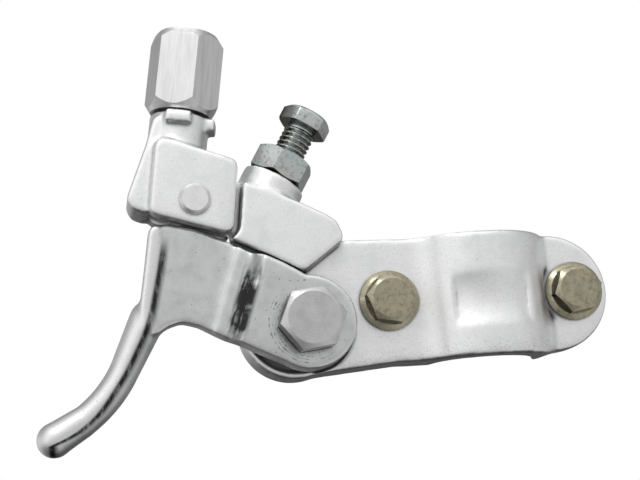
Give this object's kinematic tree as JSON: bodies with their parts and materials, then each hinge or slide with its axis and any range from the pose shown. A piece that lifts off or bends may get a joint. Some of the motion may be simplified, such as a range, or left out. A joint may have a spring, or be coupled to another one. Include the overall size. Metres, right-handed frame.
{
  "type": "clutch lever assembly",
  "caption": "Short cast clutch lever turning on a handlebar perch, with a swivelling cable head, hexagonal cable adjuster and a screwed lever stop with lock nut",
  "frame": {"origin": "middle of the handlebar bore, on the split between the two clamp halves", "axes": "+X along the line of the clamp bolts away from the lever, +Z along the handlebar toward the cable adjuster, -Y toward the rider-facing side"},
  "size_m": [0.1415, 0.043, 0.1007],
  "materials": {
    "cast_aluminium": "satin as-cast, lightly tumbled",
    "lever_aluminium": "polished, fine scratches",
    "turned_aluminium": "satin turned and milled",
    "olive_zinc": "yellow-passivated zinc plate, glossy",
    "blue_zinc": "blue-passivated zinc plate",
    "bright_steel": "bright turned",
    "satin_steel": "satin plated",
    "bronze": "plain machined",
    "spring_steel": "dark drawn wire"
  },
  "bodies": {
    "perch": {"perch": "cast_aluminium", "clamp_cap": "cast_aluminium", "clamp_bolt_inner": "olive_zinc", "clamp_bolt_outer": "olive_zinc", "pivot_bolt": "bright_steel", "pivot_washer": "bronze", "pivot_lock_washer": "bright_steel", "pivot_nut": "bright_steel", "head_pin": "satin_steel", "head_pin_washer": "satin_steel"},
    "lever": {"lever": "lever_aluminium", "pivot_bush": "bronze", "return_spring": "spring_steel"},
    "barrel": {"cable_barrel": "bronze"},
    "cable_head": {"cable_head": "cast_aluminium"},
    "ferrule": {"adjuster_ferrule": "turned_aluminium"},
    "adjuster": {"adjuster": "turned_aluminium"},
    "stop_screw": {"stop_screw": "blue_zinc"},
    "lock_nut": {"stop_lock_nut": "blue_zinc"}
  },
  "joints": [
    {"name": "lever_pivot", "type": "hinge", "parent": "perch", "child": "lever", "pos_m": [-0.0445, -0.0115, -0.0045], "axis": [0, -1, 0], "range_deg": [0, 22]},
    {"name": "barrel_turn", "type": "hinge", "parent": "lever", "child": "barrel", "pos_m": [-0.076, -0.0105, 0.0166], "axis": [0, -1, 0], "range_deg": [-28, 0]},
    {"name": "head_swivel", "type": "hinge", "parent": "perch", "child": "cable_head", "pos_m": [-0.069, -0.0105, 0.0262], "axis": [0, -1, 0], "range_deg": [-6, 0]},
    {"name": "adjuster_travel", "type": "slide", "parent": "cable_head", "child": "ferrule", "axis": [0.1736, 0, 0.9848], "range_m": [0, 0.00376]},
    {"name": "adjuster_turn", "type": "hinge", "parent": "ferrule", "child": "adjuster", "pos_m": [-0.0704, -0.0105, 0.0483], "axis": [0.1736, 0, 0.9848], "range_deg": [0, 1080]},
    {"name": "stop_travel", "type": "slide", "parent": "perch", "child": "stop_screw", "axis": [0.5255, 0, 0.8508], "range_m": [0, 0.003]},
    {"name": "lock_nut_turn", "type": "hinge", "parent": "stop_screw", "child": "lock_nut", "pos_m": [-0.0485, -0.009, 0.0319], "axis": [0.5255, 0, 0.8508], "range_deg": [0, 180]}
  ],
  "couplings": [
    {"joint": "barrel_turn", "follows": "lever_pivot", "ratio": -1.27},
    {"joint": "head_swivel", "follows": "lever_pivot", "ratio": -0.27},
    {"joint": "adjuster_travel", "follows": "adjuster_turn", "m_per_rad": 0.00019894}
  ]
}
